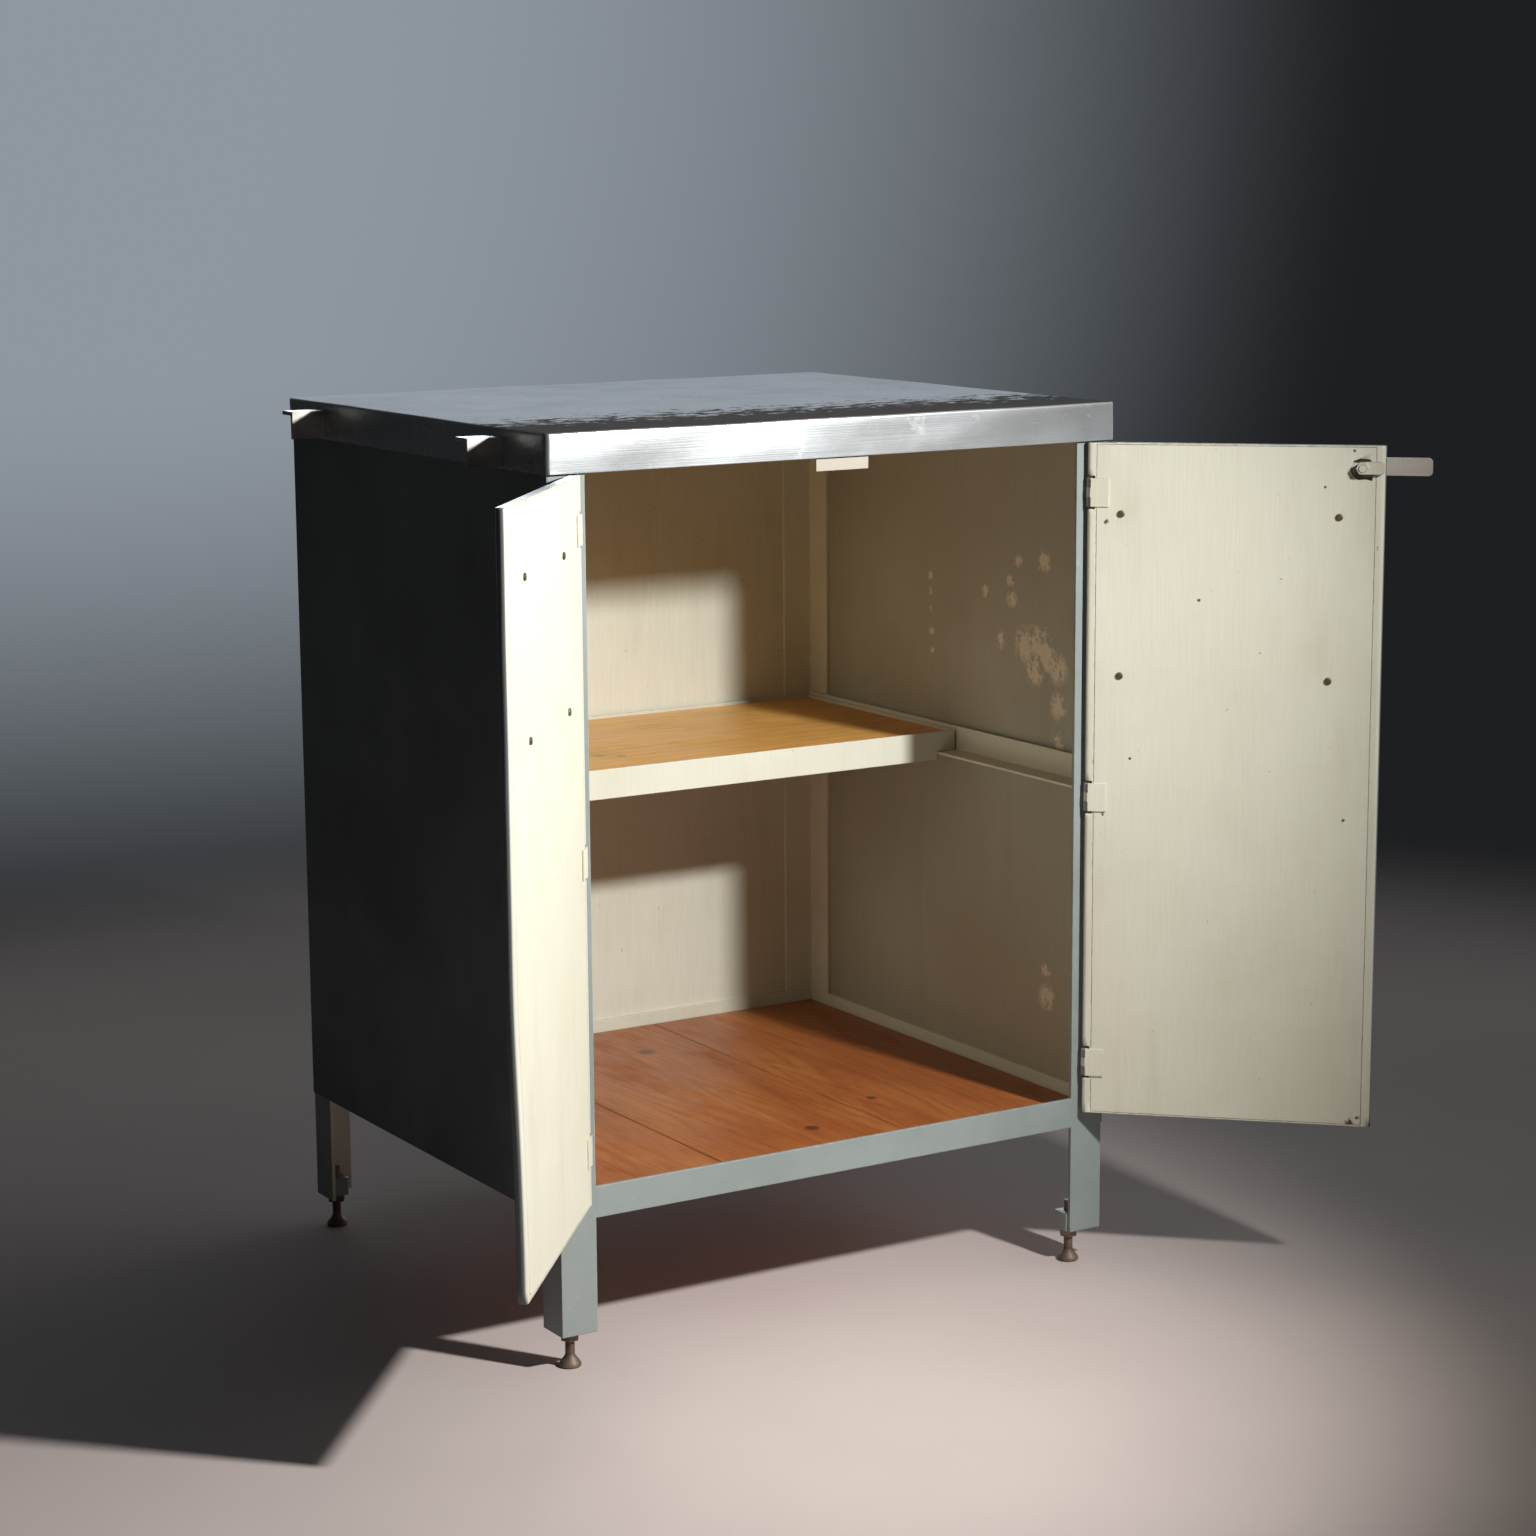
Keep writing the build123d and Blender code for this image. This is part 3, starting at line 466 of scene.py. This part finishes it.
frame_enamel = frame_paint("frame_enamel_blue_grey")
strike_enamel = old_paint("strike_plate_enamel", STRIKE_CREAM, "#5a4c39", 13.0, wear=0.8, chips=0.6)
latch_enamel = old_paint("latch_cream_enamel", LATCH_CREAM, "#4a3c2c", 15.0, wear=1.0, chips=1.2)
cream_enamel = old_paint("cream_enamel", CREAM, "#6b5a41", 11.0, wear=0.5, chips=0.2)
right_liner_enamel = old_paint(
    "right_liner_cream_enamel", CREAM, "#4a4436", 21.0, wear=0.4, chips=0.3, dings=right_dings
)
left_liner_enamel = old_paint(
    "left_liner_cream_enamel", CREAM, "#4a4436", 31.0, wear=0.4, chips=0.2, dings=left_dings
)
left_panel_enamel = panel_paint("left_panel_enamel", 41.0, (1, 0, 0))
# The right panel's inner face takes the darker cream, which is painted shade, with pale rubbed marks on it.
right_panel_enamel = panel_paint(
    "right_panel_enamel", 51.0, (-1, 0, 0), SHADE_DARKENED_CREAM, rubs=right_wall_rubs, rub_colour="#f2e6cf"
)
back_panel_enamel = panel_paint("back_panel_enamel", 61.0, (0, -1, 0))
door_enamels = {
    side: old_paint(
        f"{side}_door_enamel", SLATE, "#5a5646", 71.0, lining=(tuple(door.inward), CREAM), chips=0.4
    )
    for side, door in DOORS.items()
}
front_edge = CENTRE.y - (tray_high.y - tray_low.y) / 2
WORN_STRIP_MM = 150
worktop_steel = bare_metal(
    "worktop_galvanised_steel", "#ced2d4", "#bfc4c7", "#2d241c", 81.0, (160, 6, 1.2),
    rust_share=0.15, gloss=0.26, band=(front_edge, WORN_STRIP_MM), shine=0.85, spread=0.05,
)
lever_steel = bare_metal(
    "lever_mild_steel", "#ded5ca", "#c2b9ad", "#5b4632", 91.0, (30, 30, 1.0),
    rust_share=0.2, gloss=0.4, shine=0.2,
)
latch_steel = bare_metal(
    "latch_mild_steel", "#b9b2a6", "#6f675b", "#4a3524", 93.0, (20, 20, 1.0), rust_share=0.6
)
bracket_steel = bare_metal(
    "bracket_mild_steel", "#d0cdc6", "#8e8b84", "#4a3b2c", 95.0, (20, 1.0, 1.0),
    rust_share=0.4, gloss=0.4, shine=0.5,
)
screw_steel = bare_metal(
    "screw_dark_steel", "#8a7d6a", "#5e5244", "#2b2018", 97.0, (4, 4, 4), rust_share=0.8, gloss=0.5
)
foot_steel = bare_metal(
    "foot_rusty_steel", "#8b7a6d", "#5d4c42", "#6b4f3f", 99.0, (6, 6, 6),
    rust_share=0.9, gloss=0.5, shine=0.5,
)
floor_knots = level_marks(172, (33, 178, 9), (25, -190, 7), (142, -126, 6))
plank_woods = [
    stained_wood(
        f"floor_pine_{number}", "#b06c38", "#8c4a22", "#863c1c", 101.0 + 13 * number, "Y", knots=floor_knots
    )
    for number in range(3)
]
shelf_wood = stained_wood(
    "shelf_plywood", "#efb865", "#d99a4a", "#d8a656", 151.0, "X", ring_mm=14,
    pools=level_marks(547, (-110, 68, 10), (-84, 70, 8), (-65, 55, 6)),
)
board_wood = stained_wood("worktop_board_plywood", "#c0905c", "#9a6a3a", "#8a6038", 161.0, "X")

DIAGONAL = math.sqrt(0.5)
inward_faces = {
    "bottom_rail_rear": (0, -DIAGONAL, DIAGONAL),
    "bottom_rail_left": (DIAGONAL, 0, DIAGONAL),
    "bottom_rail_right": (-DIAGONAL, 0, DIAGONAL),
    "top_rail_rear": (0, -DIAGONAL, -DIAGONAL),
    "top_rail_left": (DIAGONAL, 0, -DIAGONAL),
    "top_rail_right": (-DIAGONAL, 0, -DIAGONAL),
    "corner_post_rear_left": (DIAGONAL, -DIAGONAL, 0),
    "corner_post_rear_right": (-DIAGONAL, -DIAGONAL, 0),
}
finish_by_start = {
    ("corner_post", "bottom_rail", "top_rail", "foot_boss", "hinge_frame"): frame_enamel,
    ("hinge_door", "shelf_tray", "shelf_rail", "door_left_stiffeners", "door_right_stiffeners"): cream_enamel,
    ("levelling_foot", "jam_nuts"): foot_steel,
    ("hinge_pins", "door_left_screws", "door_right_screws", "worktop_screws"): screw_steel,
    ("latch_", "handle_spindle"): latch_enamel,
    ("handle_rose",): latch_steel,
    ("side_bracket",): bracket_steel,
}
finish_of = {
    name: finish for starts, finish in finish_by_start.items() for name in nodes if name.startswith(starts)
}
for name, facing in inward_faces.items():
    finish_of[name] = frame_paint(f"{name}_enamel", lining=(facing, CREAM))
for side in DOORS:
    finish_of[f"door_{side}_shell"] = door_enamels[side]
for number, wood in enumerate(plank_woods):
    finish_of[f"floor_plank_{number + 1}"] = wood
finish_of.update({
    "door_left_liner": left_liner_enamel,
    "door_right_liner": right_liner_enamel,
    "side_panel_left": left_panel_enamel,
    "side_panel_right": right_panel_enamel,
    "back_panel": back_panel_enamel,
    "strike_plate": strike_enamel,
    "worktop_tray": worktop_steel,
    "handle_lever": lever_steel,
    "shelf_board": shelf_wood,
    "worktop_board": board_wood,
})
for name, finish in finish_of.items():
    nodes[name].data.materials.clear()
    nodes[name].data.materials.append(finish)

# ---------------------------------------------------------------- pieces that replace plain CAD shapes

SMOOTH_ANGLE = math.radians(35)


def smooth_step(low, high, value):
    """0 below low, 1 above high, and an even curve between."""
    part = np.clip((value - low) / (high - low), 0, 1)
    return part * part * (3 - 2 * part)


def add_piece(name, mesh, finish, body, replaced):
    """Put a mesh in the scene as a piece of a body, in place of the CAD nodes named."""
    mesh.materials.clear()
    mesh.materials.append(finish)
    mesh.polygons.foreach_set("use_smooth", np.ones(len(mesh.polygons), bool))
    mesh.set_sharp_from_angle(angle=SMOOTH_ANGLE)
    piece = bpy.data.objects.new(name, mesh)
    bpy.context.scene.collection.objects.link(piece)
    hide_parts(*replaced)
    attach(piece, body)
    return piece


def sliced_copy(node_name, name, cuts):
    """New mesh with a CAD node's shape, cut into bands by planes, each a point and a normal."""
    shape = bmesh.new()
    shape.from_mesh(nodes[node_name].data)
    for point, normal in cuts:
        everything = shape.verts[:] + shape.edges[:] + shape.faces[:]
        bmesh.ops.bisect_plane(shape, geom=everything, plane_co=point, plane_no=normal, dist=1e-6)
    bmesh.ops.remove_doubles(shape, verts=shape.verts[:], dist=1e-7)
    mesh = bpy.data.meshes.new(name)
    shape.to_mesh(mesh)
    shape.free()
    return mesh


def move_points(mesh, shift):
    """Move a mesh's points by shift(points), an array of the same size in metres."""
    points = np.empty(len(mesh.vertices) * 3, np.float32)
    mesh.vertices.foreach_get("co", points)
    points = points.reshape(-1, 3).astype(float)
    mesh.vertices.foreach_set("co", (points + shift(points)).astype(np.float32).ravel())
    mesh.update()


def waves(across, up, size, seed):
    """Uneven hollows and swells of about 1, each size metres across: six plane waves at set angles, added."""
    total = np.zeros_like(across)
    for number in range(6):
        angle = seed + number * 2.4
        pitch = size * (0.7 + 0.25 * number)
        run = across * math.cos(angle) + up * math.sin(angle)
        total += np.sin(run * math.tau / pitch + seed * (number + 1.3))
    return total / 3


TWIST_TOP = math.radians(0.84)
TWIST_FOOT = math.radians(-0.32)
DENT = 0.30 * MM
DENT_SEEDS = {"left": 1.0, "right": 2.6}


def door_shift(door):
    """Twist and hollows of one door, as a shift along its inner normal that grows with s.

    The left door is sprung: straight above its middle, and turned back towards its foot."""

    def shift(points):
        offset = points - np.array(door.axis)
        s = offset @ np.array(door.along)
        z = points[:, 2]
        turn = 0.0
        if door.side == "left":
            turn = TWIST_FOOT + (TWIST_TOP - TWIST_FOOT) * smooth_step(0.20, 0.50, z)
        inside = smooth_step(0.01, 0.06, s) * smooth_step(0.17, 0.22, z) * smooth_step(-0.895, -0.85, -z)
        bow = DENT * waves(s, z, 0.21, DENT_SEEDS[door.side]) * inside
        return (bow - np.tan(turn) * s)[:, None] * np.array(door.inward)

    return shift


DOOR_FOOT, DOOR_HEAD = 0.172, 0.894
FIRST_REACH, LAST_REACH = 0.016, 0.300
DOOR_SLICE = 12 * MM
door_parts = {
    "shell": ("pan", "door_paint"),
    "liner": ("lining_sheet", "cream_paint"),
    "screws": ("screw_set", "bare_steel"),
    "stiffeners": ("stiffener_set", "cream_paint"),
}
for side, door in DOORS.items():
    heights = np.arange(DOOR_FOOT + DOOR_SLICE, DOOR_HEAD, DOOR_SLICE)
    reaches = np.arange(FIRST_REACH, LAST_REACH, DOOR_SLICE)
    door_cuts = [(Vector((0, 0, z)), Vector((0, 0, 1))) for z in heights]
    door_cuts += [(door.axis + door.along * s, door.along) for s in reaches]
    for part, (new_name, slot) in door_parts.items():
        node_name = f"door_{side}_{part}"
        cuts = door_cuts if part in ("shell", "liner") else []
        mesh = sliced_copy(node_name, f"door_{side}_{new_name}", cuts)
        move_points(mesh, door_shift(door))
        add_piece(f"door_{side}_{new_name}", mesh, finish_of[node_name], f"door_{side}", [node_name])

RIM_X, RIM_Y = 0.33, 0.288
TOP_SKIN = 0.003
TRAY_SLICE_MM = 15


def tray_shift(points):
    """Shallow hollows in the worktop's sheet: the top sinks and the rims lean in, each by under 0.6 mm."""
    x, y, z = points.T
    sink = 0.3 * MM * (1.0 + waves(x, y, 0.19, 0.8))
    lean = 0.3 * MM * (1.0 + waves(x + y, z * 3, 0.16, 2.1))
    inward_x = -np.sign(x - CENTRE.x) * lean * (np.abs(x - CENTRE.x) > RIM_X)
    inward_y = -np.sign(y - CENTRE.y) * lean * (np.abs(y - CENTRE.y) > RIM_Y)
    return np.stack([inward_x, inward_y, -sink * (z > TOP_Z - TOP_SKIN)], axis=1)


tray_cuts = [(on_carcass(x, 0, 0), Vector((1, 0, 0))) for x in range(-330, 331, TRAY_SLICE_MM)]
tray_cuts += [(on_carcass(0, y, 0), Vector((0, 1, 0))) for y in range(-285, 286, TRAY_SLICE_MM)]
tray_cuts += [(Vector((0, 0, z * MM)), Vector((0, 0, 1))) for z in (903, 911, 919, 927)]
tray = sliced_copy("worktop_tray", "worktop_sheet", tray_cuts)
move_points(tray, tray_shift)
add_piece("worktop_sheet", tray, worktop_steel, "root", ["worktop_tray"])

FOOT_TURNS = 32
STEM_START = 13.0
STEM_RADIUS = 5.0
THREAD_PITCH = 1.75
THREAD_DEPTH = 0.45
PAD_OUTLINE = (
    (0.0, 0.0), (0.0, 9.5), (0.3, 10.6), (1.4, 11.4), (3.2, 11.3),
    (5.4, 10.2), (7.6, 8.4), (9.6, 6.6), (11.2, 5.6), (12.4, 5.1),
)


def foot_mesh(name, low, high):
    """Levelling foot: a bell-shaped pad under a threaded stem, turned about an upright axis.

    The radius follows the pad's outline, and above it the stem's radius less a triangle wave of height
    over pitch, set back by the angle, so that its crests run round as a screw's do."""
    heights, radii = np.array(PAD_OUTLINE).T
    stem_z = np.arange(STEM_START, (high.z - low.z) / MM, THREAD_PITCH / 6)
    around = np.arange(FOOT_TURNS) / FOOT_TURNS
    rings_z = np.concatenate([heights, stem_z])
    phase = np.abs((stem_z[:, None] / THREAD_PITCH - around[None, :]) % 1.0 - 0.5) * 2
    thread = STEM_RADIUS - THREAD_DEPTH * phase
    rings_r = np.concatenate([np.repeat(radii[:, None], FOOT_TURNS, axis=1), thread])
    angle = around * math.tau
    x = rings_r * np.cos(angle) * MM + (low.x + high.x) / 2
    y = rings_r * np.sin(angle) * MM + (low.y + high.y) / 2
    z = np.repeat(rings_z[:, None], FOOT_TURNS, axis=1) * MM + low.z
    points = np.stack([x, y, z], axis=2).reshape(-1, 3)
    ring, turn = np.meshgrid(np.arange(len(rings_z) - 1), np.arange(FOOT_TURNS), indexing="ij")
    this_ring, next_ring = ring * FOOT_TURNS, (ring + 1) * FOOT_TURNS
    next_turn = (turn + 1) % FOOT_TURNS
    corners = [this_ring + turn, this_ring + next_turn, next_ring + next_turn, next_ring + turn]
    faces = np.stack(corners, axis=2).reshape(-1, 4).tolist()
    faces.append(list(range((len(rings_z) - 1) * FOOT_TURNS, len(rings_z) * FOOT_TURNS)))
    mesh = bpy.data.meshes.new(name)
    mesh.from_pydata(points.tolist(), [], faces)
    joined = bmesh.new()
    joined.from_mesh(mesh)
    bmesh.ops.remove_doubles(joined, verts=joined.verts[:], dist=1e-6)
    joined.to_mesh(mesh)
    joined.free()
    return mesh


for corner in ("front_left", "front_right", "rear_left", "rear_right"):
    node_name = f"levelling_foot_{corner}"
    mesh = foot_mesh(f"foot_{corner}_screw", *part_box(node_name))
    add_piece(f"foot_{corner}_screw", mesh, foot_steel, f"foot_{corner}", [node_name])

# ---------------------------------------------------------------- floor of the studio

FLOOR_HALF = 4.0
FLOOR_SOLID = 1.5
FLOOR_EDGE = 2.6


def studio_floor():
    """Level floor, 8 m wide, whose pale paint fades out into the room well away from the cabinet."""
    mesh = bpy.data.meshes.new("studio_floor")
    corners = [(x * FLOOR_HALF, y * FLOOR_HALF, 0.0) for x, y in ((-1, -1), (1, -1), (1, 1), (-1, 1))]
    mesh.from_pydata(corners, [], [(0, 1, 2, 3)])
    floor = bpy.data.objects.new("studio_floor", mesh)
    bpy.context.scene.collection.objects.link(floor)
    finish, node, shader, place = start_finish("studio_floor_paint")
    clouds = mottle(node, place, (700, 700, 700), 3.0, detail=3)
    away = node("ShaderNodeVectorMath", {0: place}, operation="LENGTH").outputs["Value"]
    solid = remap(node, away, FLOOR_EDGE, FLOOR_SOLID, smooth=True)
    links = shader.id_data.links
    links.new(blend(node, clouds, "#cfc2be", "#c8bbb7"), shader.inputs["Base Color"])
    links.new(solid, shader.inputs["Alpha"])
    shader.inputs["Roughness"].default_value = 0.8
    mesh.materials.append(finish)
    return floor


floor = studio_floor()
lit_from_behind = bpy.data.collections.new("lit_from_behind")
for piece in bpy.data.objects:
    if piece.type == "MESH" and piece is not floor and not piece.name.startswith("worktop"):
        lit_from_behind.objects.link(piece)
rear_light.light_linking.receiver_collection = lit_from_behind
